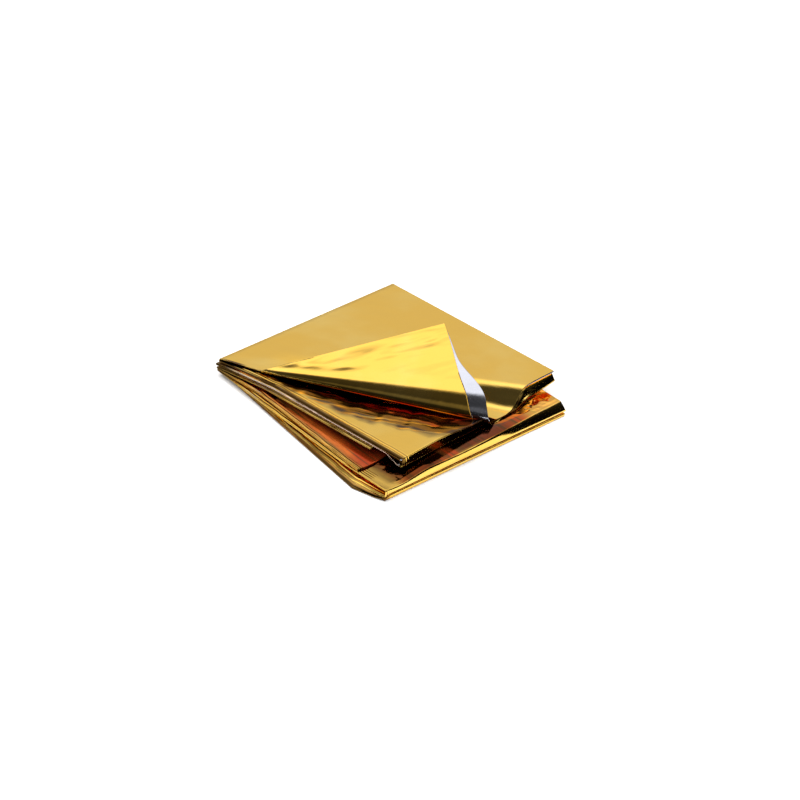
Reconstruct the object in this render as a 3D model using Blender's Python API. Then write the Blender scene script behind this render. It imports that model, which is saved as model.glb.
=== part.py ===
"""An emergency foil blanket, folded to a flat packet with one corner turned back.

The blanket is one sheet. It runs back and forth in layers, each layer here standing for about
two of the real films, so that the packet is one long strip of foil with round folds at its
front and at its back. The top layer ends free at the front. It sinks into a trough there, and
its left front corner rolls back over the packet and stands up as a flap.

+X runs from the packet's back folds to its front folds, +Y from its left edge to its right
edge, +Z up. The origin is under the middle of the packet, on the surface that it lies on.
Metres throughout.
"""
from collections import namedtuple
from math import cos, pi, radians, sin

import bmesh
import bpy
from mathutils import Vector

SHEET = 0.001               # thickness of the foil, as a solid

# The middle of the packet's outline, in the sizes below, which is put over the origin.
MIDDLE = Vector((0.0319, -0.0217))

# Lines of the grid that all layers share, between their own edges.
LINES_ALONG = (-0.150, -0.090, -0.030, 0.030, 0.080, 0.120, 0.150, 0.178, 0.205, 0.219, 0.232,
               0.248)
LINES_ACROSS = (-0.140, -0.100, -0.060, -0.025, 0.005, 0.030, 0.055, 0.080, 0.105, 0.130)
EDGE_STRIP = 0.007          # a grid line is left out of a layer that ends nearer than this
FOLD_STEPS = 3              # strips around each fold
FOLD_REACH = 0.0025         # a fold stands out no further than this

# Where the heights of the table are taken: the packet's back line and its front line.
BACK_LINE = -0.215
FRONT_LINE = 0.240
LEFT_LINE = -0.200
RIGHT_LINE = 0.200

# One row for each layer, from the lowest up. Each layer is a four-sided sheet:
#   back            x of its back edge
#   front_left      x of its front edge at the packet's left
#   front_right     x of its front edge at the packet's right
#   bulge           how far that edge swells forward on the way
#   back_height     height of its middle at the back line
#   left_height     height at the front line, at the left
#   right_height    height at the front line, at the right
#   side_back       y of its left edge at the back
#   side_front      y of its left edge at the front
#   side_swell      how far that edge swells outward on the way (inward where it is below zero)
#   swell_at        the place of the swell, as a share of the way from back to front
#   right_back      y of its right edge at the back
#   right_front     y of its right edge at the front
#   sink            share of the trough's depth that it sinks by
Layer = namedtuple("Layer", "back front_left front_right bulge back_height left_height "
                            "right_height side_back side_front side_swell swell_at "
                            "right_back right_front sink")
LAYERS = (
    Layer(-0.160, 0.262, 0.276, 0.0000, 0.0005, 0.0005, 0.0005,
          -0.202, -0.225, 0.0130, 0.85, 0.184, 0.163, 0.000),
    Layer(-0.168, 0.262, 0.276, 0.0000, 0.0031, 0.0070, 0.0042,
          -0.204, -0.226, 0.0205, 0.85, 0.187, 0.165, 0.000),
    Layer(-0.168, 0.262, 0.275, 0.0000, 0.0058, 0.0095, 0.0066,
          -0.204, -0.224, 0.0130, 0.83, 0.190, 0.169, 0.030),
    Layer(-0.194, 0.262, 0.262, 0.0055, 0.0084, 0.0190, 0.0208,
          -0.206, -0.222, 0.0040, 0.80, 0.192, 0.168, 0.496),
    Layer(-0.194, 0.190, 0.186, 0.0000, 0.0110, 0.0214, 0.0245,
          -0.206, -0.221, -0.0100, 0.28, 0.195, 0.188, 0.578),
    Layer(-0.209, 0.190, 0.186, 0.0000, 0.0137, 0.0238, 0.0275,
          -0.207, -0.219, -0.0100, 0.28, 0.193, 0.190, 0.636),
    Layer(-0.209, 0.170, 0.182, 0.0000, 0.0163, 0.0322, 0.0310,
          -0.207, -0.177, -0.0080, 0.30, 0.196, 0.191, 0.708),
    Layer(-0.213, 0.170, 0.182, 0.0000, 0.0190, 0.0350, 0.0345,
          -0.206, -0.173, -0.0090, 0.30, 0.198, 0.194, 0.780),
    Layer(-0.213, 0.2385, 0.219, 0.0060, 0.0216, 0.0386, 0.0378,
          -0.205, -0.168, -0.0100, 0.30, 0.197, 0.196, 0.845),
    Layer(-0.211, 0.2385, 0.218, 0.0030, 0.0243, 0.0424, 0.0412,
          -0.200, -0.165, -0.0110, 0.30, 0.200, 0.198, 0.918),
    Layer(-0.211, 0.219, 0.2125, 0.0215, 0.0285, 0.0460, 0.0450,
          -0.198, -0.172, -0.0217, 0.1835, 0.200, 0.200, 1.000),
)
TOP = len(LAYERS) - 1

# The bulge of a front edge, in shares of the way from left to right.
BULGE_START = 0.20
BULGE_TOP = 0.45
BULGE_END = 0.90

# The turned corner: the top layer curls up and back along a slanting line.
CURL_LEFT = Vector((-0.1327, -0.1715))   # where the curl leaves the top, at its narrow end
CURL_SLANT = radians(32.95)              # the line's slant to the packet's left edge
CURL_LENGTH = 0.400
CURL_RADIUS_LEFT = 0.0022
CURL_RADIUS_RIGHT = 0.0225
CURL_TURN = radians(162.8)               # the flap lies back this far
CURL_STEPS = 8

# The trough that the layers sink into behind the curl. It gets deeper along the curl.
TROUGH_DEPTH = 0.0215       # at TROUGH_FULL along the curl, for the top layer
TROUGH_FULL = 0.410
TROUGH_TOP = -0.0725        # distances from the curl's line, towards the corner
TROUGH_FOOT = -0.0350
TROUGH_RISE = 0.0450

# In front of the curl its weight presses a hollow into the layers under the top one. The table
# gives how far the hollow reaches, at places along the curl.
Reach = namedtuple("Reach", "along width")
HOLLOW = (
    Reach(0.000, 0.030),
    Reach(0.030, 0.043),
    Reach(0.120, 0.069),
    Reach(0.170, 0.092),
    Reach(0.210, 0.107),
    Reach(0.270, 0.111),
    Reach(0.350, 0.127),
    Reach(0.430, 0.130),
)
HOLLOW_SLOPE = 0.125
HOLLOW_FOOT = 0.010         # its deepest place, as a distance past the curl's line
HOLLOW_BACK = -0.060        # it ends here, behind that line
HOLLOW_START = 0.060        # it has its full depth from here, along the curl
HOLLOW_FRONT = (0.190, 0.238)            # it gets shallower between these x
HOLLOW_LOSS = 0.60          # and loses this share of its depth there

# The lowest layers come up again in front of the other ones, between these x.
STIFF = 3                   # number of the highest of them
STIFF_RISE = (0.214, 0.248)

# The layer under the front fold drops there, so that the fold makes a steep front face.
TUCKED = 8                  # number of that layer
TUCK_START = 0.034          # distances back from its front edge
TUCK_END = 0.008
TUCK_GAP = 0.0030           # how far it stays above the lower part of the packet
TUCK_RIGHT_START = 0.125    # it drops less and less beyond this y
TUCK_RIGHT_END = 0.215
UNDER_TUCK = 3              # number of the layer that it comes down to


def mix(a, b, share):
    return a + (b - a) * share


def ramp(value, low, high):
    """0 below low, 1 above high, and smooth between them."""
    share = min(max((value - low) / (high - low), 0.0), 1.0)
    return share * share * (3.0 - 2.0 * share)


def swell(share, peak):
    """Rises evenly from 0 to 1 at the peak, and falls back to 0 at a share of 1."""
    return min(share / peak, (1.0 - share) / (1.0 - peak))


def look_up(rows, value):
    """The width in a table of Reach rows at a place between two of them."""
    for low, high in zip(rows, rows[1:]):
        if value < high.along:
            share = max((value - low.along) / (high.along - low.along), 0.0)
            return mix(low.width, high.width, share)
    return rows[-1].width


def curl_axes():
    """The curl's direction, and the direction across it towards the corner, seen from above."""
    return Vector((cos(CURL_SLANT), sin(CURL_SLANT))), Vector((sin(CURL_SLANT), -cos(CURL_SLANT)))


def curl_place(x, y):
    """How far a place is along the curl's line, and how far past it."""
    along, across = curl_axes()
    offset = Vector((x, y)) - CURL_LEFT
    return offset.dot(along), offset.dot(across)


def curl_radius(reach):
    share = min(max(reach / CURL_LENGTH, 0.0), 1.15)
    return mix(CURL_RADIUS_LEFT, CURL_RADIUS_RIGHT, share)


def trough(x, y):
    """Depth of the trough at a place, for the top layer."""
    reach, past = curl_place(x, y)
    depth = TROUGH_DEPTH * min(max(reach / TROUGH_FULL, 0.0), 1.05)
    return depth * ramp(past, TROUGH_TOP, TROUGH_FOOT) * (1.0 - ramp(past, 0.0, TROUGH_RISE))


def hollow(x, y):
    """Depth of the hollow in front of the curl at a place."""
    reach, past = curl_place(x, y)
    width = look_up(HOLLOW, reach)
    deep = HOLLOW_SLOPE * (width - min(max(past, HOLLOW_FOOT), width))
    near = ramp(reach, 0.0, HOLLOW_START) * ramp(past, HOLLOW_BACK, 0.0)
    return deep * near * (1.0 - HOLLOW_LOSS * ramp(x, *HOLLOW_FRONT))


def height(number, x, y):
    """Height of a layer's middle over a place, before it is tucked in."""
    layer = LAYERS[number]
    across = (y - LEFT_LINE) / (RIGHT_LINE - LEFT_LINE)
    along = (x - BACK_LINE) / (FRONT_LINE - BACK_LINE)
    front = mix(layer.left_height, layer.right_height, across)
    down = trough(x, y)
    if number < TOP:
        down = max(down, hollow(x, y))
    if number <= STIFF:
        down *= 1.0 - ramp(x, *STIFF_RISE)
    return mix(layer.back_height, front, along) - layer.sink * down


def side_edge(number, x):
    """y of a layer's left and right edges at a place from back to front."""
    layer = LAYERS[number]
    front = 0.5 * (layer.front_left + layer.front_right)
    along = min(max((x - layer.back) / (front - layer.back), 0.0), 1.0)
    left = mix(layer.side_back, layer.side_front, along)
    left -= layer.side_swell * swell(along, layer.swell_at)
    return left, mix(layer.right_back, layer.right_front, along)


def front_edge(number, y):
    """x of a layer's front edge."""
    layer = LAYERS[number]
    across = (y - layer.side_front) / (layer.right_front - layer.side_front)
    hump = ramp(across, BULGE_START, BULGE_TOP) * (1.0 - ramp(across, BULGE_TOP, BULGE_END))
    return mix(layer.front_left, layer.front_right, across) + layer.bulge * hump


def place(number, x, y):
    """A point of a layer."""
    z = height(number, x, y)
    if number == TUCKED:
        edge = front_edge(number, y)
        share = ramp(x, edge - TUCK_START, edge - TUCK_END)
        share *= 1.0 - ramp(y, TUCK_RIGHT_START, TUCK_RIGHT_END)
        z = mix(z, height(UNDER_TUCK, x, y) + TUCK_GAP, share)
    return Vector((x, y, z))


def layer_lines(number):
    """A layer as lines of points from its back edge to its front edge, from left to right."""
    layer = LAYERS[number]
    nearest = min(layer.front_left, layer.front_right) - EDGE_STRIP
    inner = [x for x in LINES_ALONG if layer.back + EDGE_STRIP < x < nearest]
    lines = []
    for column in range(len(LINES_ACROSS) + 2):
        line = []
        for x in [layer.back] + inner + [None]:
            at = 0.5 * (layer.front_left + layer.front_right) if x is None else x
            left, right = side_edge(number, at)
            y = ([left] + list(LINES_ACROSS) + [right])[column]
            line.append(place(number, front_edge(number, y) if x is None else x, y))
        lines.append(line)
    return lines


def fold(start, end, outward):
    """Points of a round fold between the edges of two layers."""
    depth = min(0.5 * abs(end.z - start.z), FOLD_REACH)
    points = []
    for step in range(1, FOLD_STEPS + 1):
        turn = pi * step / (FOLD_STEPS + 1)
        point = start.lerp(end, 0.5 - 0.5 * cos(turn))
        point.x += outward * depth * sin(turn)
        points.append(point)
    return points


def strip_lines():
    """The strip from its lower end to its free upper end, as lines of points along its length.

    With them comes the number of points in a line that belong to the top layer."""
    lines = [[] for _ in range(len(LINES_ACROSS) + 2)]
    for number in range(len(LAYERS)):
        layer = layer_lines(number)
        for line, points in zip(lines, layer):
            if number % 2:
                points.reverse()
            if number:
                line += fold(line[-1], points[0], 1.0 if number % 2 else -1.0)
            line += points
    return lines, len(layer[0])


def turn_back(point):
    """Where a point of the flat top layer goes when the corner rolls back."""
    along, across = curl_axes()
    reach, past = curl_place(point.x, point.y)
    if past <= 0.0:
        return point
    radius = curl_radius(reach)
    turn = min(past / radius, CURL_TURN)
    rest = past - radius * turn
    out = radius * sin(turn) + rest * cos(CURL_TURN)
    up = radius * (1.0 - cos(turn)) + rest * sin(CURL_TURN)
    foot = CURL_LEFT + along * reach
    ground = height(TOP, foot.x, foot.y)
    return Vector((foot.x + across.x * out, foot.y + across.y * out, ground + up))


def crease_top(mesh, top_faces):
    """Cut the top layer along the curl's lines, so that it bends only at them."""
    along, across = curl_axes()
    faces = set(top_faces)
    for step in range(CURL_STEPS + 1):
        turn = CURL_TURN * step / CURL_STEPS
        start = CURL_LEFT + across * CURL_RADIUS_LEFT * turn
        end = CURL_LEFT + along * CURL_LENGTH + across * CURL_RADIUS_RIGHT * turn
        line = (end - start).normalized()
        parts = list(faces)
        parts += {edge for face in faces for edge in face.edges}
        parts += {vert for face in faces for vert in face.verts}
        cut = bmesh.ops.bisect_plane(mesh, geom=parts, dist=1e-6, plane_co=start.to_3d(),
                                     plane_no=(line.y, -line.x, 0.0))
        faces |= {part for part in cut["geom"] if isinstance(part, bmesh.types.BMFace)}
        faces = {face for face in faces if face.is_valid}
    return faces


def blanket_mesh():
    """The folded strip as a surface without thickness."""
    mesh = bmesh.new()
    points, top_count = strip_lines()
    lines = [[mesh.verts.new(point) for point in line] for line in points]
    top_start = len(lines[0]) - top_count
    top_faces = []
    for left, right in zip(lines, lines[1:]):
        for step in range(len(left) - 1):
            face = mesh.faces.new((left[step], left[step + 1], right[step + 1], right[step]))
            if step >= top_start:
                top_faces.append(face)
    top_faces = crease_top(mesh, top_faces)
    for vert in {vert for face in top_faces for vert in face.verts}:
        vert.co = turn_back(vert.co)
    bmesh.ops.triangulate(mesh, faces=mesh.faces[:])
    bmesh.ops.recalc_face_normals(mesh, faces=mesh.faces[:])
    data = bpy.data.meshes.new("foil_blanket")
    mesh.to_mesh(data)
    mesh.free()
    return data


def gold_foil():
    """Bright gold metallised film."""
    material = bpy.data.materials.new("gold_foil")
    material.use_nodes = True
    shader = material.node_tree.nodes["Principled BSDF"]
    shader.inputs["Base Color"].default_value = (0.90, 0.58, 0.12, 1.0)
    shader.inputs["Metallic"].default_value = 1.0
    shader.inputs["Roughness"].default_value = 0.12
    return material


def foil_blanket():
    """The blanket, given its thickness."""
    data = blanket_mesh()
    data.materials.append(gold_foil())
    data.shade_smooth()
    data.set_sharp_from_angle(angle=radians(40.0))
    blanket = bpy.data.objects.new("foil_blanket", data)
    bpy.context.scene.collection.objects.link(blanket)
    blanket.location = (-MIDDLE.x, -MIDDLE.y, 0.0)
    solid = blanket.modifiers.new("thickness", "SOLIDIFY")
    solid.thickness = SHEET
    solid.offset = 0.0
    solid.use_even_offset = True
    return blanket


def main():
    for old in list(bpy.data.objects):
        bpy.data.objects.remove(old, do_unlink=True)
    foil_blanket()


main()
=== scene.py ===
"""The looks of the folded emergency foil blanket: twenty-two films, a floor, light and a camera.

The blanket is built film by film. Two films lie face to face, silver to silver, and this pair
runs back and forth in the eleven layers of the CAD solid. The pair is joined along the packet's
left edge, and open along its right edge. Metres throughout, in the CAD's frame.
"""

from collections import namedtuple
from math import cos, pi, radians, sin, tan

import bpy
import numpy as np
from mathutils import Matrix, Vector


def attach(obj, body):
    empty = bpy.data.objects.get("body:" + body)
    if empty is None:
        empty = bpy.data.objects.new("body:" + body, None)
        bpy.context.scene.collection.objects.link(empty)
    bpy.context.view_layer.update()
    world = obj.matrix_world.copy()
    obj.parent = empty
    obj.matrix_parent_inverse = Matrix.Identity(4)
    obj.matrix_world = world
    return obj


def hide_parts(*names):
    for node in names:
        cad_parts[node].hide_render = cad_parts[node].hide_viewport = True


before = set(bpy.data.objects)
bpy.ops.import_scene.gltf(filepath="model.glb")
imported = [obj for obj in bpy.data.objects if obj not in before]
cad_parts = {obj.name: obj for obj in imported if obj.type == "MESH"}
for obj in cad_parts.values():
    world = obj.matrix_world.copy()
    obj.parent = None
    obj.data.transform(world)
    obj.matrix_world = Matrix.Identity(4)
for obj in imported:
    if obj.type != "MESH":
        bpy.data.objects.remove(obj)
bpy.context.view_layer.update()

# ---------------------------------------------------------------- the packet's sizes
# x runs from the packet's back folds to its front folds, y from its left edge to its right edge.
MIDDLE = np.array((0.0319, -0.0217, 0.0))   # the packet's middle in the sizes below

# Where the heights of the table are taken.
BACK_LINE = -0.215
FRONT_LINE = 0.240
LEFT_LINE = -0.200
RIGHT_LINE = 0.200

# A row for each layer, from the lowest up:
#   back            x of its back edge
#   front_left      x of its front edge at the left end
#   front_right     x of its front edge at the right end
#   bulge           how far the front edge bulges out between them
#   back_height     height of its middle at the back line
#   left_height     height of its middle at the front line's left end
#   right_height    height of its middle at the front line's right end
#   side_back       y of its left edge at the back
#   side_front      y of its left edge at the front
#   side_swell      how far the left edge swells out between them
#   swell_at        the place of the swell, as a share of the way from back to front
#   right_back      y of its right edge at the back
#   right_front     y of its right edge at the front
#   sink            its share of the depth of the trough and the hollow
#   droop           depth of a dip beside the left edge, at the front
#   bend            how far the left edge bends down at the front
#   puff            how far the lower film of the pair stands off at the left edge
Layer = namedtuple("Layer", "back front_left front_right bulge back_height left_height "
                            "right_height side_back side_front side_swell swell_at "
                            "right_back right_front sink droop bend puff")
LAYERS = (
    Layer(-0.203, 0.262, 0.276, 0.000, 0.0005, 0.0005, 0.0005, -0.197, -0.225, 0.012, 0.864,
          0.184, 0.163, 0.000, 0.0000, 0.0000, 0.0000),
    Layer(-0.206, 0.262, 0.276, 0.000, 0.0031, 0.0070, 0.0042, -0.199, -0.226, 0.0205, 0.862,
          0.187, 0.165, 0.000, 0.0000, 0.0050, 0.0010),
    Layer(-0.206, 0.262, 0.2750, 0.000, 0.0058, 0.0095, 0.0065, -0.202, -0.224, 0.013, 0.844,
          0.190, 0.169, 0.030, 0.0000, 0.0030, 0.0005),
    Layer(-0.209, 0.262, 0.262, 0.0055, 0.0084, 0.0215, 0.0205, -0.206, -0.222, 0.004, 0.806,
          0.192, 0.168, 0.475, 0.0060, 0.0000, 0.0010),
    Layer(-0.209, 0.190, 0.186, 0.000, 0.0110, 0.0235, 0.0245, -0.206, -0.221, -0.010, 0.30,
          0.195, 0.188, 0.565, 0.0062, 0.0000, 0.0004),
    Layer(-0.209, 0.190, 0.186, 0.000, 0.0137, 0.0253, 0.0275, -0.207, -0.219, -0.010, 0.28,
          0.193, 0.190, 0.625, 0.0064, 0.0000, 0.0008),
    Layer(-0.209, 0.170, 0.182, 0.000, 0.0163, 0.0335, 0.0310, -0.207, -0.177, -0.008, 0.30,
          0.196, 0.191, 0.700, 0.0000, 0.0000, 0.0012),
    Layer(-0.213, 0.170, 0.182, 0.000, 0.0190, 0.0353, 0.0342, -0.206, -0.173, -0.009, 0.30,
          0.198, 0.194, 0.768, 0.0000, 0.0000, 0.0008),
    Layer(-0.213, 0.2385, 0.217, 0.003, 0.0216, 0.0371, 0.0377, -0.205, -0.168, -0.010, 0.30,
          0.197, 0.196, 0.838, 0.0000, 0.0000, 0.0008),
    Layer(-0.211, 0.2395, 0.218, 0.003, 0.0243, 0.0424, 0.0412, -0.200, -0.165, -0.011, 0.30,
          0.200, 0.198, 0.915, 0.0000, 0.0000, 0.0062),
    Layer(-0.211, 0.219, 0.2125, 0.0215, 0.0285, 0.0460, 0.0450, -0.198, -0.172, -0.0217, 0.1835,
          0.200, 0.200, 1.000, 0.0000, 0.0000, 0.0004),
)
TOP = len(LAYERS) - 1
UNDER_TOP = TOP - 1
FACE = TOP + 1              # the number of the face in front of the two layers below the top one

# Where the bulge of a front edge starts, is highest and ends, as shares of the way to the right.
BULGE_START = 0.20
BULGE_TOP = 0.45
BULGE_END = 0.90

# The turned corner: the top layer curls up and back along a slanting line.
CURL_LEFT = np.array((-0.1327, -0.1715))   # the line's left end
CURL_SLANT = radians(32.95)
CURL_LENGTH = 0.400
CURL_RADIUS_LEFT = 0.0022
CURL_RADIUS_RIGHT = 0.0225
CURL_WIDEST = 1.15              # it goes on widening to this share of its length
CURL_TURN = radians(162.8)      # the flap lies back this far
CURL_BELLY = 0.8                # how far the curl bulges out at its foot, as a share of its radius
BELLY_TURNS = (radians(32.0), radians(52.0), radians(142.0))   # it grows up to the first, and
                                # shrinks from the second to the third turn
CURL_STRETCH = 0.0060           # how much higher than round the curl is
CURL_LAST = 0.235               # the lines across run alike in front of this x
ALONG_CURL = np.array((cos(CURL_SLANT), sin(CURL_SLANT)))
ACROSS_CURL = np.array((sin(CURL_SLANT), -cos(CURL_SLANT)))

# The trough that the top layer sinks into, along the curl's line.
TROUGH_DEPTH = 0.0285
TROUGH_FULL = 0.410         # how far along the line it is that deep
TROUGH_DEEPEST = 1.05       # and it goes on deepening to this share
TROUGH_TOP = -0.0665        # distances past the line: its far side starts down,
TROUGH_FOOT = -0.0245       # reaches its floor,
TROUGH_RISE = 0.0450        # and its near side, which starts at the line, ends

# The two layers below the top one turn down at the front, to a face above the lower layers.
UNDER_FACE = 3              # the layer that the face stands on
SECOND = UNDER_TOP - 1      # the lower one of the two
FACE_GAP = {SECOND: 0.0030, UNDER_TOP: 0.0050}      # how far above it each layer ends
FACE_START = {SECOND: 0.036, UNDER_TOP: 0.0006}     # each turns down at this distance from its
FACE_END = {SECOND: 0.012, UNDER_TOP: 0.0}          # front edge, and is down at this one
FACE_LEAST = {SECOND: 0.0070, UNDER_TOP: 0.0080}    # how far down, at the left and right ends
FACE_LEFT_START = -0.240    # between these places across it grows to the whole height
FACE_LEFT_END = -0.110
FACE_RIGHT_START = 0.150    # and between these it shrinks again
FACE_RIGHT_END = 0.250
FACE_LEAN = 0.0079          # the face leans back by this much at the right
FACE_LEAN_START = 0.095
FACE_LEAN_END = 0.150
DROOP_START = -0.200        # the dip beside the left edge grows between these places
DROOP_END = 0.164
DROOP_SIDES = ((-0.020, 0.022), (0.030, 0.095))     # from the left edge in: it falls, and rises
BEND_START = -0.15          # the left edge bends down more and more between these places
BEND_END = 0.20
BEND_WIDTH = 0.010          # this far in from the edge it is flat

# How far the pressed-in hollow in front of the curl reaches, at places along the curl.
Reach = namedtuple("Reach", "along width")
HOLLOW = (
    Reach(0.000, 0.016),
    Reach(0.030, 0.027),
    Reach(0.120, 0.065),
    Reach(0.170, 0.092),
    Reach(0.210, 0.107),
    Reach(0.270, 0.111),
    Reach(0.350, 0.127),
    Reach(0.430, 0.130),
)
HOLLOW_SLOPE = 0.200        # its depth for each metre from its rim
HOLLOW_FOOT = 0.010         # it gets no deeper nearer than this to the curl's line
HOLLOW_FRONT = (0.190, 0.238)          # it gets shallower between these places
HOLLOW_LOSS = 0.5           # by this share
RISE_START = 0.214          # the lowest layers rise again in front of the top ones
RISE_END = 0.248
HOLLOW_EDGE = 0.06          # its depth grows over this width at the left end and behind the line

# Waves of its rim: how far they go out, and their length and start, for each radian.
RimWave = namedtuple("RimWave", "height length start")
RIM_WAVES = (
    RimWave(0.0035, 0.0085, 0.0),
    RimWave(0.0025, 0.0041, 1.0),
)
WAVES = 0.0003              # height of the soft waves in it
WAVES_FROM = 0.002          # where it is this deep they have their whole height

# The soft waves: a share of the height, their lengths for each radian across and along the
# curl's line, and how far they wander, with the length and start of that.
SoftWave = namedtuple("SoftWave", "share across along wander wander_along wander_start")
SOFT_WAVES = (
    SoftWave(0.6, 0.0040, 0.023, 1.2, 0.030, 0.0),
    SoftWave(0.4, 0.0026, -0.034, 0.8, 0.016, 2.0),
)

# ---------------------------------------------------------------- the films
PAIR_GAP = 0.0011           # between the two films of a pair
FILM = 0.00012              # thickness of a film's mesh
PUFF_WIDTH = 0.016          # the pair opens towards its left edge over this width
PUFF_SPAN = (-0.20, 0.04)   # and more and more between these places
LOWER_SHORT = 0.0075        # how much shorter the turned corner's lower film is at the front
LOWER_OUT = 0.0100          # and how much it gains again at the right
SHORT_SPAN = (-0.17, -0.04)             # between these places across it gets shorter,
OUT_SPAN = (0.070, 0.100)               # and between these it gains

WEDGE_LAYERS = (4, 5)       # below the wide gap at the left
PLEAT_WIDTH = 0.015         # the films are finely pleated along their left edges, this far in
PLEAT_START = (-0.21, -0.10)            # the pleats begin between these places
PLEAT_END = (0.195, 0.225)              # and end between these, in the layer under the face
DEEPEST = 0.020             # of the hollow under the curl
WRINKLES_BEHIND = (0.002, 0.025)        # the wrinkles grow this far behind the roll
WRINKLES_INSIDE = (0.02, 0.07)          # and shrink this far from the side edge,
WRINKLES_LOSS = 0.8                     # by this share

# Places of the flat film: in which layers they are, and their share. The columns between give
# where the share grows to its whole (from) and shrinks to nothing (to), at x along the layer
# and at distances inside from its left edge.
Place = namedtuple("Place", "layers x_from x_to inside_from inside_to share")
ALWAYS, NEVER = (-2.0, -1.0), (1.0, 2.0)
PAINTED_RED_PLACES = (                  # painted red and orange reflection from between the films
    Place(WEDGE_LAYERS, (-0.200, -0.165), NEVER, (-0.004, 0.012), (0.060, 0.090), 0.95),
    Place((3,), (0.150, 0.190), (0.2655, 0.2675), (0.020, 0.050), (0.300, 0.340), 0.88),
    Place((3,), (0.150, 0.190), (0.2655, 0.2675), (0.300, 0.340), NEVER, 0.35),
    Place((3,), (0.236, 0.244), (0.2610, 0.2650), (0.118, 0.130), (0.150, 0.166), 0.95),
    Place((UNDER_TOP,), (0.170, 0.195), (0.2300, 0.2380), (0.125, 0.142), (0.160, 0.185), 0.95),
    Place((0, 1), (-0.215, -0.190), NEVER, ALWAYS, (0.008, 0.014), 0.38),
)
PAINTED_SHADE_PLACES = (                 # painted shade and dark reflection from the gaps next to them
    Place((0,), (-0.215, -0.190), NEVER, ALWAYS, (0.006, 0.012), 0.80),
    Place((1,), (-0.215, -0.190), NEVER, ALWAYS, (0.0026, 0.0036), 0.75),
    Place((2,), (-0.215, -0.190), (0.17, 0.20), ALWAYS, (0.0026, 0.0036), 0.50),
    Place((3,), (0.140, 0.170), (0.248, 0.258), (0.012, 0.030), (0.070, 0.110), 0.80),
    Place((3,), (0.140, 0.170), (0.2655, 0.2675), (0.020, 0.050), (0.105, 0.135), 0.80),
    Place((3,), (0.140, 0.170), (0.2655, 0.2675), (0.145, 0.180), (0.250, 0.310), 0.70),
    Place((3, 4, 5, 6, 7, 8, 9), ALWAYS, (-0.190, -0.155), ALWAYS, (0.010, 0.016), 0.85),
    Place((0, 1, 2), ALWAYS, (-0.155, -0.120), ALWAYS, (0.004, 0.008), 0.80),
    Place((6,), (-0.215, -0.190), NEVER, ALWAYS, (0.0020, 0.0028), 0.45),
    Place((7,), (-0.215, -0.190), NEVER, ALWAYS, (0.0018, 0.0025), 0.80),
    Place((UNDER_TOP,), (-0.215, -0.190), NEVER, ALWAYS, (0.0022, 0.0032), 0.92),
    Place((TOP,), (-0.215, -0.190), (-0.175, -0.155), ALWAYS, (0.0028, 0.0040), 0.92),
    Place((FACE,), ALWAYS, NEVER, ALWAYS, NEVER, 0.45),
)
PAINTED_HIGHLIGHT_PLACES = (                 # fine lines of painted pink highlight
    Place((8,), (-0.190, -0.150), NEVER, ALWAYS, (0.0012, 0.0020), 0.85),
    Place((6,), (-0.150, -0.100), NEVER, (0.0026, 0.0030), (0.0036, 0.0042), 0.60),
)
CRUMPLED_PLACES = (             # finely crumpled corners
    Place((3,), (0.180, 0.200), (0.2520, 0.2600), (0.330, 0.350), NEVER, 1.0),
    Place((3,), (0.150, 0.170), (0.2520, 0.2600), (0.030, 0.040), (0.085, 0.095), 0.7),
)

# Strips along the layers: their lines lie at the same places in all layers.
BACK_SPACING = 0.0062
FRONT_SPACING = 0.0036      # closer, where the layers bend most
LINES_BACK = [-0.207 + BACK_SPACING * step for step in range(50)]
LINES_FRONT = [0.1030 + FRONT_SPACING * step for step in range(42)]
LINES = LINES_BACK + LINES_FRONT
LINE_STEP = {TOP: 1, UNDER_TOP: 2, SECOND: 3}   # each of these layers takes every so many lines,
HIDDEN_STEP = 6                                 # and the others every sixth
UNDER_FACE_SHARES = (0.35, 0.7)     # the last lines of the layer under the face, on their way
# How far behind its front edge the last lines of the layer below the top one are: closest where
# it turns down to the face.
FACE_LINES = (0.0150, 0.0085, 0.0045, 0.0012, 0.0006, 0.00055, 0.0003, 0.00003, 0.0)
EDGE_LINE = 0.0010          # a line this close to every free or folded edge keeps it crisp
EDGE_STRIP = 0.004          # and no other line is nearer to it than this
FOLD_STEPS = 5              # rows around a fold
FOLD_REACH = 0.0016         # a fold reaches this far past the edges, at most
FOLD_FLAT = 0.45            # how flat its outside is: 1 is round
FACE_REACH = 0.0003         # the same for the fold at the top of the face

# Strips across, all even numbers: the layers below UNDER_TOP take every other line.
SIDE_STRIPS = 8             # around the left edge
FLAP_STRIPS = 40            # on the flap
CURL_STRIPS = 16            # around the curl
FLAT_STRIPS = 32            # right of the curl
LEAST_FLAP = 0.008          # the flap's strips have at least this width together
FLAP_BLEND = 0.004          # and this rounds off where that starts
LEFT_BLEND = 0.08           # the strips of the other layers are drawn out to their own edges over
RIGHT_BLEND = 0.06          # these widths


def mix(a, b, share):
    return a + (b - a) * share


def ramp(value, low, high):
    """0 below low, 1 above high, and smooth between them."""
    share = np.clip((value - low) / (high - low), 0.0, 1.0)
    return share * share * (3.0 - 2.0 * share)


def swell(share, peak):
    """Rises evenly from 0 to 1 at the peak, and falls back to 0 at a share of 1."""
    return np.minimum(share / peak, (1.0 - share) / (1.0 - peak))


def curl_place(x, y):
    """How far a place is along the curl's line, and how far past it."""
    right, front = x - CURL_LEFT[0], y - CURL_LEFT[1]
    return (right * ALONG_CURL[0] + front * ALONG_CURL[1],
            right * ACROSS_CURL[0] + front * ACROSS_CURL[1])


def curl_radius(reach):
    return mix(CURL_RADIUS_LEFT, CURL_RADIUS_RIGHT, np.clip(reach / CURL_LENGTH, 0.0, CURL_WIDEST))


def trough_share(reach):
    """How deep the trough is at a place along it, as a share of its depth."""
    return np.clip(reach / TROUGH_FULL, 0.0, TROUGH_DEEPEST)


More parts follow.
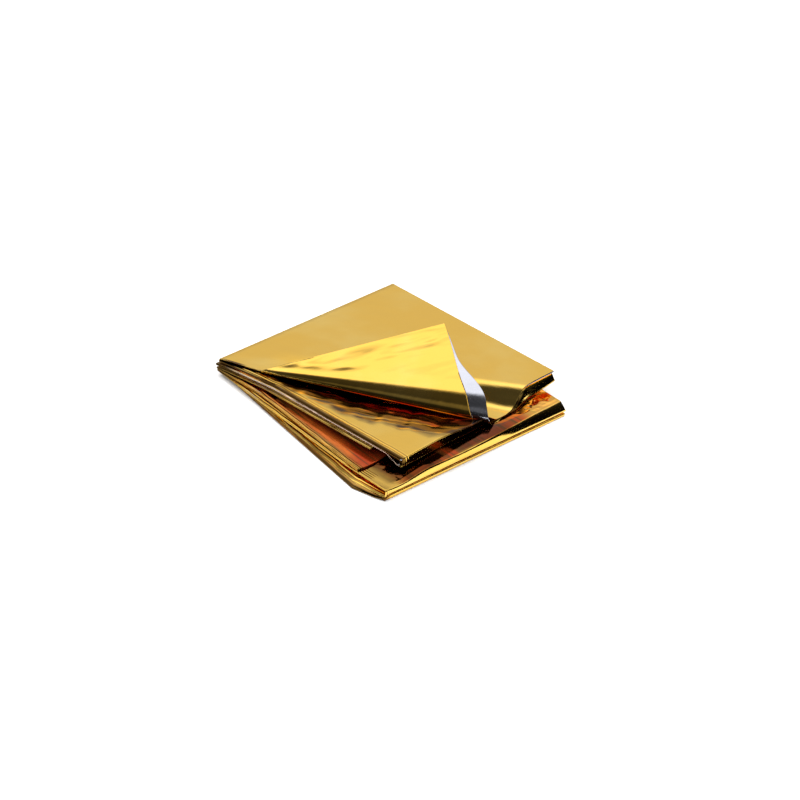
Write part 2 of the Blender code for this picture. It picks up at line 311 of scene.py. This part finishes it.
def trough(x, y):
    """Depth of the trough at a place, for the top layer."""
    reach, past = curl_place(x, y)
    depth = TROUGH_DEPTH * trough_share(reach)
    return depth * ramp(past, TROUGH_TOP, TROUGH_FOOT) * (1.0 - ramp(past, 0.0, TROUGH_RISE))


def hollow(x, y):
    """Depth to which the rolled corner presses the layers below it, with a few soft waves."""
    reach, past = np.broadcast_arrays(*curl_place(x, y))
    width = np.interp(reach, [row.along for row in HOLLOW], [row.width for row in HOLLOW])
    for wave in RIM_WAVES:
        width = width + wave.height * np.sin(reach / wave.length + wave.start)
    deep = HOLLOW_SLOPE * (width - np.clip(past, HOLLOW_FOOT, width))
    near = ramp(reach, 0.0, HOLLOW_EDGE) * ramp(past, -HOLLOW_EDGE, 0.0)
    near = near * (1.0 - HOLLOW_LOSS * ramp(x, *HOLLOW_FRONT))
    waves = 0.0
    for wave in SOFT_WAVES:
        wander = wave.wander * np.sin(reach / wave.wander_along + wave.wander_start)
        waves = waves + wave.share * np.sin(past / wave.across + reach / wave.along + wander)
    return near * deep + WAVES * ramp(deep, 0.0, WAVES_FROM) * near * waves


def height(number, x, y):
    """Height of a layer's middle over a place, before it is tucked in."""
    layer = LAYERS[number]
    across = (y - LEFT_LINE) / (RIGHT_LINE - LEFT_LINE)
    along = (x - BACK_LINE) / (FRONT_LINE - BACK_LINE)
    front = mix(layer.left_height, layer.right_height, across)
    down = trough(x, y)
    if number < TOP:
        down = np.maximum(down, hollow(x, y))
    if number <= UNDER_FACE:
        down = down * (1.0 - ramp(x, RISE_START, RISE_END))
    return mix(layer.back_height, front, along) - layer.sink * down


def side_edge(number, x):
    """y of a layer's left and right edges at a place from back to front."""
    layer = LAYERS[number]
    front = 0.5 * (layer.front_left + layer.front_right)
    along = np.clip((x - layer.back) / (front - layer.back), 0.0, 1.0)
    left = mix(layer.side_back, layer.side_front, along)
    left = left - layer.side_swell * swell(along, layer.swell_at)
    return left, mix(layer.right_back, layer.right_front, along)


def front_edge(number, y, side):
    """x of a layer's front edge; the top layer's lower film (side below 0) is shorter."""
    layer = LAYERS[number]
    across = (y - layer.side_front) / (layer.right_front - layer.side_front)
    hump = ramp(across, BULGE_START, BULGE_TOP) * (1.0 - ramp(across, BULGE_TOP, BULGE_END))
    edge = mix(layer.front_left, layer.front_right, across)
    if number == TOP and side < 0:
        return edge - LOWER_SHORT * ramp(y, *SHORT_SPAN) + LOWER_OUT * ramp(y, *OUT_SPAN)
    return edge + layer.bulge * hump


def place(number, x, y, side):
    """Points of a layer."""
    layer = LAYERS[number]
    z = height(number, x, y)
    if number in FACE_GAP:
        edge = front_edge(number, y, side)
        lean = FACE_LEAN * ramp(y, FACE_LEAN_START, FACE_LEAN_END)
        start, end = edge - FACE_START[number] - lean, edge - FACE_END[number]
        share = np.clip((x - start) / (end - start), 0.0, 1.0)
        low = height(UNDER_FACE, x, y) + FACE_GAP[number]
        whole = ramp(y, FACE_LEFT_START, FACE_LEFT_END)
        whole = whole * (1.0 - ramp(y, FACE_RIGHT_START, FACE_RIGHT_END))
        z = mix(z, mix(z - FACE_LEAST[number], low, whole), share)
    inside = y - side_edge(number, x)[0]
    droop = layer.droop * np.clip((x - DROOP_START) / (DROOP_END - DROOP_START), 0.0, 1.0)
    z = z - droop * ramp(inside, *DROOP_SIDES[0]) * (1.0 - ramp(inside, *DROOP_SIDES[1]))
    bend = layer.bend * ramp(x, BEND_START, BEND_END)
    z = z - bend * np.clip(1.0 - inside / BEND_WIDTH, 0.0, 1.0) ** 2
    return np.stack(np.broadcast_arrays(x, y, z), axis=-1)


def soft_max(a, b, blend):
    """The larger of two values, rounded where they meet."""
    return 0.5 * (a + b + np.sqrt((a - b) ** 2 + blend * blend))


def top_columns(x):
    """y of the top layer's lines from back to front, at one place: they lie along its curl."""
    x = min(x, CURL_LAST)
    left, right = side_edge(TOP, x)
    start = CURL_LEFT[1] + (x - CURL_LEFT[0]) * tan(CURL_SLANT)
    reach = (x - CURL_LEFT[0]) / cos(CURL_SLANT)
    arc = curl_radius(reach) * CURL_TURN / cos(CURL_SLANT)
    lines = []
    for step in range(CURL_STRIPS + 1):
        at = start - arc * (1.0 - step / CURL_STRIPS) - left
        lines.append(soft_max(at, LEAST_FLAP * (1.0 + step / CURL_STRIPS), FLAP_BLEND))
    columns = [0.0, 0.5 * EDGE_LINE, EDGE_LINE]
    columns += [lines[0] * step / FLAP_STRIPS for step in range(1, FLAP_STRIPS)]
    columns += lines
    wide = right - left
    columns += [mix(lines[-1], wide, (step + 1) / FLAT_STRIPS) for step in range(FLAT_STRIPS - 1)]
    columns += [wide - EDGE_LINE, wide - 0.5 * EDGE_LINE, wide]
    return left + np.array(columns)


def columns_of(number, x):
    """The same lines for any layer, drawn out to its own edges."""
    columns = top_columns(x)
    left, right = side_edge(number, x)
    left_off = left - columns[0]
    right_off = right - columns[-1]
    near_left = np.clip(1.0 - (columns - columns[0]) / LEFT_BLEND, 0.0, 1.0)
    near_right = np.clip(1.0 - (columns[-1] - columns) / RIGHT_BLEND, 0.0, 1.0)
    return columns + left_off * near_left + right_off * near_right


def layer_rows(number, side):
    """A layer as rows of points across it, from its back edge to its front edge."""
    layer = LAYERS[number]
    nearest = min(layer.front_left, layer.front_right) - EDGE_STRIP
    if number == TOP:
        nearest -= LOWER_SHORT
    if number == UNDER_TOP:
        nearest -= FACE_LINES[0]
    lines = LINES[::LINE_STEP.get(number, HIDDEN_STEP)]
    inner = [x for x in lines if layer.back + EDGE_STRIP < x < nearest]
    if number < SECOND:
        kink = mix(layer.back, 0.5 * (layer.front_left + layer.front_right), layer.swell_at)
        inner = sorted([x for x in inner if abs(x - kink) > EDGE_STRIP] + [kink])
    rows = [place(number, x, columns_of(number, x), side) for x in [layer.back] + inner]
    last = inner[-1]
    front = 0.5 * (layer.front_left + layer.front_right)
    y = columns_of(number, front)
    edge = front_edge(number, y, side)
    before = columns_of(number, last)
    if number == UNDER_TOP:
        stops = [edge - back for back in FACE_LINES]
    else:
        spacing = FRONT_SPACING * LINE_STEP.get(number, HIDDEN_STEP)
        ends = max(1, round((np.max(front_edge(number, y, 1.0)) - last) / spacing))
        stops = [mix(last, edge, step / ends) for step in range(1, ends)]
        if number == UNDER_FACE:
            stops = [mix(last, edge, share) for share in UNDER_FACE_SHARES]
        stops += [edge - EDGE_LINE, edge]
    for stop in stops:
        share = (stop - last) / (edge - last)
        rows.append(place(number, stop, mix(before, y, share), side))
    return rows


def turn_back(points):
    """Where points of the flat top layer go when the corner rolls back."""
    reach, past = curl_place(points[:, 0], points[:, 1])
    radius = curl_radius(reach)
    turn = np.clip(past / radius, 0.0, CURL_TURN)
    rest = np.maximum(past - radius * CURL_TURN, 0.0)
    grown, start, end = BELLY_TURNS
    belly = CURL_BELLY * radius * ramp(turn, 0.0, grown) * (1.0 - ramp(turn, start, end))
    out = radius * np.sin(turn) + belly + rest * cos(CURL_TURN)
    higher = CURL_STRETCH * trough_share(reach) * ramp(turn, 0.0, CURL_TURN)
    up = radius * (1.0 - np.cos(turn)) + higher + rest * sin(CURL_TURN)
    foot = CURL_LEFT + np.outer(reach, ALONG_CURL)
    ground = height(TOP, foot[:, 0], foot[:, 1])
    turned = np.stack([foot[:, 0] + ACROSS_CURL[0] * out, foot[:, 1] + ACROSS_CURL[1] * out,
                       ground + up], axis=-1)
    return np.where((past > 0.0)[:, None], turned, points)


def fold_rows(start, end, outward, reach):
    """Rows of points around the fold between the edges of two layers."""
    depth = np.minimum(0.5 * np.abs(end[:, 2] - start[:, 2]), reach)
    rows = []
    for step in range(1, FOLD_STEPS + 1):
        turn = pi * step / (FOLD_STEPS + 1)
        row = mix(start, end, 0.5 - 0.5 * cos(turn))
        row[:, 0] += outward * depth * sin(turn) ** FOLD_FLAT
        rows.append(row)
    return rows


def middle_surface(side):
    """The pair's middle surface as a grid: rows along the strip, columns across it.

    With it come the layer of each row, and for each point its x in the flat layer and how far it
    is from the left edge."""
    rows, numbers, flats = [], [], []
    for number in range(len(LAYERS)):
        layer = layer_rows(number, side)
        if number % 2:
            layer.reverse()
        if number:
            reach = FACE_REACH if number == UNDER_TOP else FOLD_REACH
            bend = fold_rows(rows[-1], layer[0], 1.0 if number % 2 else -1.0, reach)
            rows += bend
            # A fold looks like the layer before it, save the face and the fold to the top layer.
            belongs = {UNDER_TOP: FACE, TOP: TOP}.get(number, number - 1)
            numbers += [belongs] * len(bend)
            flats += [flats[-1]] * len(bend)
        flats += [np.stack([row[:, 0], row[:, 1] - side_edge(number, row[:, 0])[0]], axis=-1)
                  for row in layer]
        if number == TOP:
            layer = [turn_back(row) for row in layer]
        rows += layer
        numbers += [number] * len(layer)
    return np.array(rows), np.array(numbers), np.array(flats)


def unit(vectors):
    return vectors / np.maximum(np.linalg.norm(vectors, axis=-1, keepdims=True), 1e-12)


def share_at(places, numbers, x, inside):
    """The largest share that a table of places gives to each point, from 0 to 1."""
    share = np.zeros(x.shape)
    for row in places:
        there = ramp(x, *row.x_from) * (1.0 - ramp(x, *row.x_to))
        there = there * ramp(inside, *row.inside_from) * (1.0 - ramp(inside, *row.inside_to))
        share = np.maximum(share, row.share * there * np.isin(numbers, row.layers))
    return share


def wrinkles(numbers, x, inside):
    """How wrinkled a place is: only the rolled corner is, most of all near its side edge."""
    reach, past = curl_place(x, inside + side_edge(TOP, x)[0])
    behind = past - CURL_TURN * curl_radius(reach)
    left = 1.0 - WRINKLES_LOSS * ramp(inside, *WRINKLES_INSIDE)
    return (numbers == TOP) * ramp(behind, *WRINKLES_BEHIND) * left


def hollowness(numbers, x, inside):
    """How deep the layer below the top one is pressed down, from 0 to 1."""
    deep = hollow(x, inside + side_edge(UNDER_TOP, x)[0])
    return (numbers == UNDER_TOP) * np.clip(deep / DEEPEST, 0.0, 1.0)


def pleats(numbers, x, inside):
    """How finely pleated a place near the packet's left edge is, from 0 to 1."""
    wide = np.where(np.isin(numbers, WEDGE_LAYERS), 0.5, 1.0) * PLEAT_WIDTH
    smooth = (numbers == UNDER_FACE) * ramp(x, *PLEAT_END)
    there = (numbers < TOP) * ramp(x, *PLEAT_START) * (1.0 - smooth)
    return there * (1.0 - ramp(inside / wide, 0.5, 1.0))


def film_pair():
    """Both films as one grid: in along one film, round the left edge, and out along the other.

    With it come the layer of each row, and each point's place in the flat layer."""
    films, places = [], []
    for side in (-1.0, 1.0):
        middle, numbers, flats = middle_surface(side)
        along = np.gradient(middle, axis=0)
        across = np.gradient(middle, axis=1)
        normal = unit(np.cross(along, across))
        in_from_edge = np.cumsum(np.linalg.norm(np.diff(middle, axis=1, prepend=middle[:, :1]),
                                                axis=-1), axis=1)
        open_share = np.clip(1.0 - in_from_edge / PUFF_WIDTH, 0.0, 1.0) ** 2
        puffs = [layer.puff for layer in LAYERS] + [LAYERS[UNDER_TOP].puff]    # the last: FACE
        puff = np.array(puffs)[numbers][:, None]
        puff = puff * ramp(middle[..., 0], *PUFF_SPAN)
        gap = 0.5 * PAIR_GAP + puff * open_share * (numbers % 2 == (side > 0))[:, None]
        films.append(middle + normal * (side * gap)[..., None])
        places.append(flats)
    lower, upper = films
    centre = 0.5 * (lower[:, 0] + upper[:, 0])
    outward = unit(lower[:, 0] - lower[:, 1] + upper[:, 0] - upper[:, 1])
    half = 0.5 * (upper[:, 0] - lower[:, 0])
    radius = np.linalg.norm(half, axis=-1, keepdims=True)
    edge = []
    for step in range(1, SIDE_STRIPS):
        turn = pi * step / SIDE_STRIPS
        edge.append(centre - half * cos(turn) + outward * radius * sin(turn))
    edge = np.stack(edge, axis=1)
    between = np.repeat(places[1][:, :1], edge.shape[1], axis=1)
    flats = np.concatenate([places[0][:, ::-1], between, places[1]], axis=1)
    return np.concatenate([lower[:, ::-1], edge, upper], axis=1), numbers, flats


# ---------------------------------------------------------------- materials
GOLD = (0.93, 0.57, 0.100)
PALE_GOLD = (0.95, 0.64, 0.160)
# painted red and orange reflection
PAINTED_DEEP_RED = (0.50, 0.032, 0.005)
PAINTED_ORANGE = (0.85, 0.170, 0.020)
# painted shade colours, dark and brown
PAINTED_SHADE_DARK = (0.060, 0.018, 0.005)
PAINTED_SHADE_BROWN = (0.075, 0.025, 0.008)
# painted pink highlight
PAINTED_PINK_HIGHLIGHT = (0.95, 0.72, 0.62)
SILVER = (0.62, 0.63, 0.70)
DULL_SILVER = (0.50, 0.51, 0.58)
PAPER = (0.935, 0.935, 0.935)
SOFT_PAPER = (0.925, 0.926, 0.928)

PLEAT_TURNS = 1250.0            # radians of the pleats' wave for each metre
PLEAT_WANDER = 7.0              # and how many it wanders
SOFT_DEPTH = 0.0004             # depths of the bumps
CRUMPLE_DEPTH = 0.0040
GRAIN_DEPTH = 0.00005
PLEAT_DEPTH = 0.00030
WRINKLE_DEPTH = 0.0080
SILVER_DEPTH = 0.00035
PAPER_DEPTH = 0.00005
PAINTED_RED_METALLIC = (0.89, 0.94, 1.0, 0.78)  # where the painted red reflection goes from the first to the second value, the film is less metallic
LAYER_SHIFT = 0.05              # the patterns move on this far from layer to layer


def principled(name, colour, roughness):
    material = bpy.data.materials.new(name)
    material.use_nodes = True
    shader = material.node_tree.nodes["Principled BSDF"]
    shader.inputs["Base Color"].default_value = (*colour, 1.0)
    shader.inputs["Metallic"].default_value = 1.0
    shader.inputs["Roughness"].default_value = roughness
    return material


class Nodes:
    """Adds nodes to a material's tree and links them."""

    def __init__(self, material):
        self.nodes, self.links = material.node_tree.nodes, material.node_tree.links
        self.shader = self.nodes["Principled BSDF"]

    def put(self, source, target):
        if isinstance(source, bpy.types.NodeSocket):
            self.links.new(source, target)
        else:
            target.default_value = source

    def attribute(self, name, output="Fac"):
        node = self.nodes.new("ShaderNodeAttribute")
        node.attribute_name = name
        return node.outputs[output]

    def math(self, operation, first, second=0.0):
        node = self.nodes.new("ShaderNodeMath")
        node.operation = operation
        self.put(first, node.inputs[0])
        self.put(second, node.inputs[1])
        return node.outputs[0]

    def spread(self, value, low, high, out_low=0.0, out_high=1.0):
        node = self.nodes.new("ShaderNodeMapRange")
        node.interpolation_type = "SMOOTHSTEP"
        self.put(value, node.inputs["Value"])
        for name, number in (("From Min", low), ("From Max", high),
                             ("To Min", out_low), ("To Max", out_high)):
            node.inputs[name].default_value = number
        return node.outputs["Result"]

    def noise(self, place, scale, stretch=(1.0, 1.0, 1.0), detail=2.0, slant=0.0):
        moved = self.nodes.new("ShaderNodeMapping")
        moved.vector_type = "TEXTURE"
        moved.inputs["Rotation"].default_value = (0.0, 0.0, slant)
        moved.inputs["Scale"].default_value = [1.0 / share for share in stretch]
        self.links.new(place, moved.inputs["Vector"])
        node = self.nodes.new("ShaderNodeTexNoise")
        node.inputs["Scale"].default_value = scale
        node.inputs["Detail"].default_value = detail
        self.links.new(moved.outputs[0], node.inputs["Vector"])
        return node.outputs["Fac"]

    def mix(self, share, first, second):
        node = self.nodes.new("ShaderNodeMix")
        node.data_type = "RGBA"
        self.put(share, node.inputs["Factor"])
        self.put(first, node.inputs["A"])
        self.put(second, node.inputs["B"])
        return node.outputs["Result"]

    def bump(self, height, depth, before=None):
        node = self.nodes.new("ShaderNodeBump")
        node.inputs["Distance"].default_value = depth
        self.links.new(height, node.inputs["Height"])
        if before is not None:
            self.links.new(before, node.inputs["Normal"])
        return node.outputs["Normal"]


def painted_red_reflection_colour(tree, place, along, inside):
    """Painted red reflection between the films: orange near the left edge, deep red inside, with
    streaks of painted shade.
    """
    deeper = tree.math("ADD", tree.spread(inside, 0.014, 0.034, 0.0, 1.05),
                       tree.spread(tree.noise(place, 30.0), 0.3, 0.7, -0.30, 0.20))
    deeper = tree.math("ADD", deeper, tree.spread(along, 0.120, 0.180, 0.0, 0.8))
    reds = tree.mix(deeper, (*PAINTED_ORANGE, 1.0), (*PAINTED_DEEP_RED, 1.0))
    # streaks of painted shade
    streaks = tree.noise(place, 50.0, (0.12, 3.0, 1.0))
    return tree.mix(tree.spread(streaks, 0.46, 0.68, 0.0, 0.85), reds, (*PAINTED_SHADE_BROWN, 1.0))


def pleat_wave(tree, place, inside):
    """Height of the fine pleats along the left edges, from -1 to 1, a little uneven."""
    wander = tree.math("MULTIPLY", tree.noise(place, 30.0, (0.6, 0.2, 4.0)), PLEAT_WANDER)
    turns = tree.math("MULTIPLY", inside, PLEAT_TURNS)
    wave = tree.math("SINE", tree.math("ADD", turns, wander))
    return tree.math("MULTIPLY", wave, tree.attribute("pleats"))


def hollow_painted_reflection(tree, place, colour):
    """The colour with the hollow's painted dark reflection in brown streaks along the curl, and
    painted red reflection where it is deep.
    """
    deep = tree.attribute("hollowness")
    streaks = tree.noise(place, 26.0, (0.35, 4.0, 1.0), 3.0, CURL_SLANT)
    # painted dark reflection: brown streaks
    brown = tree.math("MULTIPLY", tree.spread(streaks, 0.54, 0.74, 0.95, 0.20),
                      tree.spread(deep, 0.00, 0.16))
    brown = tree.math("MULTIPLY", brown, tree.spread(deep, 0.58, 0.85, 1.0, 0.25))
    colour = tree.mix(brown, colour, (*PAINTED_SHADE_BROWN, 1.0))
    # painted red reflection where the hollow is deep
    painted_red = tree.math("MULTIPLY", tree.spread(deep, 0.40, 0.60), tree.spread(streaks, 0.35, 0.60))
    return tree.mix(painted_red, colour, (*PAINTED_DEEP_RED, 1.0))


def gold_bumps(tree, place, pleated):
    """Normals: soft unevenness, crumples, fine grain, pleats and the flap's wrinkles."""
    soft = tree.bump(tree.noise(place, 22.0, (1.0, 1.6, 1.0)), SOFT_DEPTH)
    crumpled = tree.math("MULTIPLY", tree.noise(place, 55.0, detail=1.0),
                         tree.attribute("crumples"))
    crumpled = tree.bump(crumpled, CRUMPLE_DEPTH, soft)
    grain = tree.bump(tree.noise(place, 160.0, (0.6, 1.4, 1.0), 3.0), GRAIN_DEPTH, crumpled)
    pleats_too = tree.bump(pleated, PLEAT_DEPTH, grain)
    wrinkled = tree.math("MULTIPLY", tree.noise(place, 9.0, (1.3, 4.5, 1.0), 1.0),
                         tree.attribute("wrinkles"))
    return tree.bump(wrinkled, WRINKLE_DEPTH, pleats_too)


def gold_foil():
    """Gold film: slightly uneven, finely pleated along the left edges, wrinkled on the flap, with
    painted red reflection, painted shade and painted pink highlight.
    """
    material = principled("gold_foil", GOLD, 0.10)
    tree = Nodes(material)
    place = tree.attribute("flat", "Vector")
    split = tree.nodes.new("ShaderNodeSeparateXYZ")
    tree.links.new(place, split.inputs[0])
    along, inside = split.outputs["X"], split.outputs["Y"]
    painted_red = tree.attribute("painted_red_reflection")
    cloudy = tree.noise(place, 9.0, detail=3.0)
    pleated = pleat_wave(tree, place, inside)
    colour = tree.mix(tree.spread(cloudy, 0.40, 0.75), (*GOLD, 1.0), (*PALE_GOLD, 1.0))
    # painted red and orange reflection from between the films
    colour = tree.mix(painted_red, colour, painted_red_reflection_colour(tree, place, along, inside))
    # painted shade in the troughs of the pleats
    colour = tree.mix(tree.spread(pleated, 0.2, 1.0, 0.0, 0.60), colour, (*PAINTED_SHADE_BROWN, 1.0))
    # painted dark and red reflection in the hollow
    colour = hollow_painted_reflection(tree, place, colour)
    # painted shade and dark reflection from the gaps
    colour = tree.mix(tree.attribute("painted_shade"), colour, (*PAINTED_SHADE_DARK, 1.0))
    # painted pink highlight lines
    colour = tree.mix(tree.attribute("painted_highlight"), colour, (*PAINTED_PINK_HIGHLIGHT, 1.0))
    tree.put(colour, tree.shader.inputs["Base Color"])
    tree.put(tree.spread(cloudy, 0.3, 0.7, 0.08, 0.15), tree.shader.inputs["Roughness"])
    # less metallic where the red reflection is painted
    tree.put(tree.spread(painted_red, *PAINTED_RED_METALLIC), tree.shader.inputs["Metallic"])
    tree.put(gold_bumps(tree, place, pleated), tree.shader.inputs["Normal"])
    tree.shader.inputs["Specular IOR Level"].default_value = 0.15
    return material


def silver_foil():
    """Silver film: the inner side of both films."""
    material = principled("silver_foil", SILVER, 0.16)
    tree = Nodes(material)
    place = tree.attribute("flat", "Vector")
    cloudy = tree.noise(place, 14.0, detail=3.0)
    colour = tree.mix(tree.spread(cloudy, 0.40, 0.75), (*SILVER, 1.0), (*DULL_SILVER, 1.0))
    tree.put(colour, tree.shader.inputs["Base Color"])
    tree.put(tree.spread(cloudy, 0.3, 0.7, 0.13, 0.22), tree.shader.inputs["Roughness"])
    uneven = tree.bump(tree.noise(place, 60.0, detail=3.0), SILVER_DEPTH)
    tree.put(uneven, tree.shader.inputs["Normal"])
    return material


def blanket_mesh():
    """The films' grid as a mesh, with every other line left out in the lower layers.

    Its attributes say, from 0 to 1, where the gold film gets painted red reflection, painted shade
    and painted pink highlight, where it is pleated, and so on."""
    grid, numbers, flats = film_pair()
    grid = grid - MIDDLE
    rows, columns = grid.shape[:2]
    fine = numbers >= UNDER_TOP
    index = np.full((rows, columns), -1)
    used = np.ones((rows, columns), bool)
    used[~fine, 1::2] = False
    index[used] = np.arange(used.sum())
    faces = []
    for row in range(rows - 1):
        low, high = index[row], index[row + 1]
        if fine[row] and fine[row + 1]:
            faces += np.stack([low[:-1], high[:-1], high[1:], low[1:]], axis=-1).tolist()
        elif fine[row + 1]:
            faces += np.stack([low[:-2:2], high[:-2:2], high[1:-1:2], high[2::2], low[2::2]],
                              axis=-1).tolist()
        else:
            faces += np.stack([low[:-2:2], high[:-2:2], high[2::2], low[2::2]], axis=-1).tolist()
    data = bpy.data.meshes.new("foil_blanket_films")
    data.from_pydata(grid[used].tolist(), [], faces)
    number = np.repeat(numbers[:, None], columns, axis=1)[used]
    x, inside = flats[used].T
    # shares of painted red reflection, painted shade and painted pink highlight, among the others
    values = {"painted_red_reflection": share_at(PAINTED_RED_PLACES, number, x, inside),
              "painted_shade": share_at(PAINTED_SHADE_PLACES, number, x, inside),
              "hollowness": hollowness(number, x, inside),
              "crumples": share_at(CRUMPLED_PLACES, number, x, inside),
              "painted_highlight": share_at(PAINTED_HIGHLIGHT_PLACES, number, x, inside),
              "pleats": pleats(number, x, inside),
              "wrinkles": wrinkles(number, x, inside)}
    for name, value in values.items():
        data.attributes.new(name, "FLOAT", "POINT").data.foreach_set("value", value)
    place = np.stack([x, inside, LAYER_SHIFT * number], axis=-1)
    data.attributes.new("flat", "FLOAT_VECTOR", "POINT").data.foreach_set("vector", place.ravel())
    return data


def blanket():
    data = blanket_mesh()
    data.materials.append(gold_foil())
    data.materials.append(silver_foil())
    data.shade_smooth()
    piece = bpy.data.objects.new("foil_blanket_films", data)
    bpy.context.scene.collection.objects.link(piece)
    shell = piece.modifiers.new("film", "SOLIDIFY")
    shell.thickness = FILM
    shell.offset = -1.0
    shell.material_offset = 1
    shell.material_offset_rim = 0
    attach(piece, "root")
    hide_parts("foil_blanket")


# ---------------------------------------------------------------- floor, light and camera
VIEW_AROUND = radians(49.4)     # from the packet's left edge round to its front
VIEW_DOWN = radians(33.5)
VIEW_DISTANCE = 3.4
VIEW_POINT = Vector((0.054, -0.030, 0.020)) - Vector(MIDDLE)
PIXEL = 0.001712                # size of a pixel at the view point
PICTURE = 800
VIEW_POINT_PIXEL = (392, 392)   # where the view point lies in the picture
FLOOR_HALF = 6.0                # half the width of the floor


def camera():
    towards = Vector((sin(VIEW_AROUND) * cos(VIEW_DOWN), -cos(VIEW_AROUND) * cos(VIEW_DOWN),
                      sin(VIEW_DOWN)))
    right = Vector((cos(VIEW_AROUND), sin(VIEW_AROUND), 0.0))
    up = towards.cross(right)
    data = bpy.data.cameras.new("camera")
    data.sensor_width = 36.0
    data.lens = data.sensor_width * VIEW_DISTANCE / (PIXEL * PICTURE)
    data.shift_x = (0.5 * PICTURE - VIEW_POINT_PIXEL[0]) / PICTURE
    data.shift_y = (VIEW_POINT_PIXEL[1] - 0.5 * PICTURE) / PICTURE
    data.clip_end = 100.0
    eye = bpy.data.objects.new("camera", data)
    place = Matrix((right, up, towards)).transposed().to_4x4()
    place.translation = VIEW_POINT + towards * VIEW_DISTANCE
    eye.matrix_world = place
    bpy.context.scene.collection.objects.link(eye)
    bpy.context.scene.camera = eye


def floor():
    data = bpy.data.meshes.new("floor")
    half = FLOOR_HALF
    corners = [(-half, -half, 0.0), (half, -half, 0.0), (half, half, 0.0), (-half, half, 0.0)]
    data.from_pydata(corners, [], [(0, 1, 2, 3)])
    material = bpy.data.materials.new("paper")
    material.use_nodes = True
    tree = Nodes(material)
    place = tree.nodes.new("ShaderNodeTexCoord").outputs["Object"]
    cloudy = tree.spread(tree.noise(place, 3.0, detail=4.0), 0.3, 0.7)
    tree.put(tree.mix(cloudy, (*PAPER, 1.0), (*SOFT_PAPER, 1.0)), tree.shader.inputs["Base Color"])
    tree.put(tree.bump(tree.noise(place, 900.0), PAPER_DEPTH), tree.shader.inputs["Normal"])
    tree.shader.inputs["Roughness"].default_value = 0.9
    tree.shader.inputs["Specular IOR Level"].default_value = 0.1
    data.materials.append(material)
    ground = bpy.data.objects.new("floor", data)
    bpy.context.scene.collection.objects.link(ground)


# Brightness of the studio over the half circle from the far horizon over the top to the near one.
Band = namedtuple("Band", "angle light")    # degrees, and brightness
STUDIO = (
    Band(0.0, 0.50),
    Band(17.0, 0.55),
    Band(27.0, 0.76),
    Band(38.0, 0.84),
    Band(48.0, 1.10),
    Band(58.0, 1.32),
    Band(66.0, 1.45),
    Band(76.0, 1.45),
    Band(86.0, 1.25),
    Band(96.0, 0.45),
    Band(105.0, 0.05),
    Band(122.0, 0.05),
    Band(132.0, 0.20),
    Band(142.0, 0.20),
    Band(152.0, 0.04),
    Band(180.0, 0.03),
)
SIDE_START = 0.42               # the studio is dark to both sides: from here, as the share of a
SIDE_END = 0.66                 # direction that points sideways, to here
LEFT_LIGHT = 0.30
RIGHT_LIGHT = 0.015
STUDIO_SCALE = 2.0              # the bands' colours are divided by this, to stay below 1
FLOOR_LIGHT = 1.1


def studio_light():
    """A world that is bright overhead, mid-bright beyond the packet and dark behind the camera."""
    world = bpy.data.worlds.new("studio")
    bpy.context.scene.world = world
    world.use_nodes = True
    nodes, links = world.node_tree.nodes, world.node_tree.links
    background = nodes["Background"]
    place = nodes.new("ShaderNodeTexCoord")
    far = nodes.new("ShaderNodeVectorMath")
    far.operation = "DOT_PRODUCT"
    far.inputs[1].default_value = (-sin(VIEW_AROUND), cos(VIEW_AROUND), 0.0)
    links.new(place.outputs["Generated"], far.inputs[0])
    split = nodes.new("ShaderNodeSeparateXYZ")
    links.new(place.outputs["Generated"], split.inputs[0])
    angle = nodes.new("ShaderNodeMath")
    angle.operation = "ARCTAN2"
    links.new(split.outputs["Z"], angle.inputs[0])
    links.new(far.outputs["Value"], angle.inputs[1])
    share = nodes.new("ShaderNodeMath")
    share.operation = "DIVIDE"
    share.inputs[1].default_value = pi
    links.new(angle.outputs[0], share.inputs[0])
    bands = nodes.new("ShaderNodeValToRGB")
    bands.color_ramp.interpolation = "EASE"
    stops = bands.color_ramp.elements
    while len(stops) > 1:
        stops.remove(stops[-1])
    stops[0].position = 0.0
    for number, band in enumerate(STUDIO):
        stop = stops[0] if number == 0 else stops.new(band.angle / 180.0)
        stop.color = (band.light / STUDIO_SCALE,) * 3 + (1.0,)
    links.new(share.outputs[0], bands.inputs[0])
    links.new(bands.outputs["Color"], background.inputs["Color"])
    sideways = nodes.new("ShaderNodeVectorMath")
    sideways.operation = "DOT_PRODUCT"
    sideways.inputs[1].default_value = (cos(VIEW_AROUND), sin(VIEW_AROUND), 0.0)
    links.new(place.outputs["Generated"], sideways.inputs[0])
    fades = []
    for sign, least in ((-1.0, LEFT_LIGHT), (1.0, RIGHT_LIGHT)):
        fade = nodes.new("ShaderNodeMapRange")
        fade.interpolation_type = "SMOOTHSTEP"
        fade.inputs["From Min"].default_value = sign * SIDE_START
        fade.inputs["From Max"].default_value = sign * SIDE_END
        fade.inputs["To Min"].default_value = 1.0
        fade.inputs["To Max"].default_value = least
        links.new(sideways.outputs["Value"], fade.inputs["Value"])
        fades.append(fade)
    both = nodes.new("ShaderNodeMath")
    both.operation = "MULTIPLY"
    links.new(fades[0].outputs["Result"], both.inputs[0])
    links.new(fades[1].outputs["Result"], both.inputs[1])
    strength = nodes.new("ShaderNodeMath")
    strength.operation = "MULTIPLY"
    strength.inputs[1].default_value = STUDIO_SCALE
    links.new(both.outputs[0], strength.inputs[0])
    links.new(strength.outputs[0], background.inputs["Strength"])


def floor_light():
    """Soft light from above that only the floor takes."""
    data = bpy.data.lights.new("floor_light", "SUN")
    data.energy = FLOOR_LIGHT * pi
    data.angle = radians(120.0)
    light = bpy.data.objects.new("floor_light", data)
    light.visible_glossy = False
    bpy.context.scene.collection.objects.link(light)


def picture_settings():
    scene = bpy.context.scene
    scene.view_settings.view_transform = "Standard"
    scene.cycles.max_bounces = 24
    scene.cycles.glossy_bounces = 24


camera()
floor()
studio_light()
floor_light()
picture_settings()
blanket()
